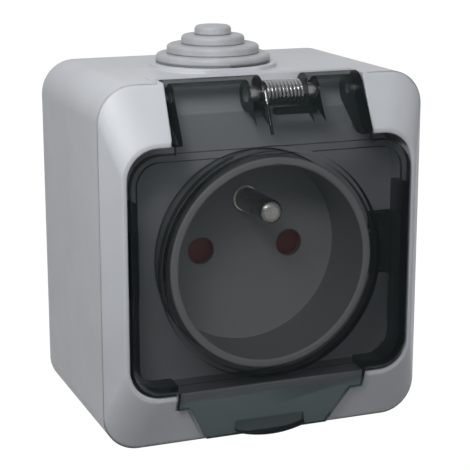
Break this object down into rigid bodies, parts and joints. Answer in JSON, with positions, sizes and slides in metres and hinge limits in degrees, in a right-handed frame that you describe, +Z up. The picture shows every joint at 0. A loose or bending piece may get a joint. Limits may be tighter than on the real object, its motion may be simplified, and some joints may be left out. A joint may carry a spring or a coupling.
{
  "type": "outdoor weatherproof socket",
  "caption": "Surface-mounted weatherproof wall socket: deep rounded box, bevelled cover, smoked self-closing lid with finger tab, shuttered round cup and stepped cable grommet.",
  "frame": {"origin": "middle of the back box's wall face", "axes": "+Y into the wall, so the lid faces -Y; +X right and +Z up for someone in front"},
  "size_m": [0.0666, 0.0464, 0.0792],
  "materials": {
    "shell_plastic": "satin",
    "smoked_plastic": "gloss",
    "cup_plastic": "satin",
    "block_plastic": "matte",
    "red_plastic": "satin",
    "dark_rubber": "matte",
    "black_rubber": "matte",
    "grommet_rubber": "matte",
    "contact_brass": "satin",
    "nickel": "gloss",
    "spring_steel": "satin",
    "pin_steel": "satin",
    "screw_steel": "satin"
  },
  "bodies": {
    "housing": {"back_box": "shell_plastic", "front_cover": "shell_plastic", "cover_gasket": "dark_rubber", "lid_spring": "spring_steel", "socket_cup": "cup_plastic", "cup_seal": "dark_rubber", "shutter_spring": "spring_steel", "mechanism_body": "block_plastic", "live_contact": "contact_brass", "neutral_contact": "contact_brass", "earth_pin": "nickel", "earth_strap": "contact_brass", "terminal_screw_live": "screw_steel", "terminal_screw_neutral": "screw_steel", "terminal_screw_earth": "screw_steel", "mechanism_screw_top": "screw_steel", "mechanism_screw_bottom": "screw_steel", "cover_screw_left": "screw_steel", "cover_screw_right": "screw_steel", "screw_seal_left": "black_rubber", "screw_seal_right": "black_rubber", "top_grommet": "grommet_rubber"},
    "lid": {"lid": "smoked_plastic", "hinge_pin_left": "pin_steel", "hinge_pin_right": "pin_steel", "spring_arbor": "pin_steel"},
    "shutter": {"shutter": "red_plastic"}
  },
  "joints": [
    {"name": "lid_hinge", "type": "hinge", "parent": "housing", "child": "lid", "pos_m": [0, -0.0382, 0.0321], "axis": [-1, 0, 0], "range_deg": [0, 105], "stiffness_Nm_per_rad": 0.008, "springref_deg": -68.75, "deforming": ["lid_spring"]},
    {"name": "shutter_slide", "type": "slide", "parent": "housing", "child": "shutter", "axis": [0, 0, -1], "range_m": [0, 0.0066], "stiffness_N_per_m": 150, "springref_m": -0.004, "deforming": ["shutter_spring"]}
  ]
}
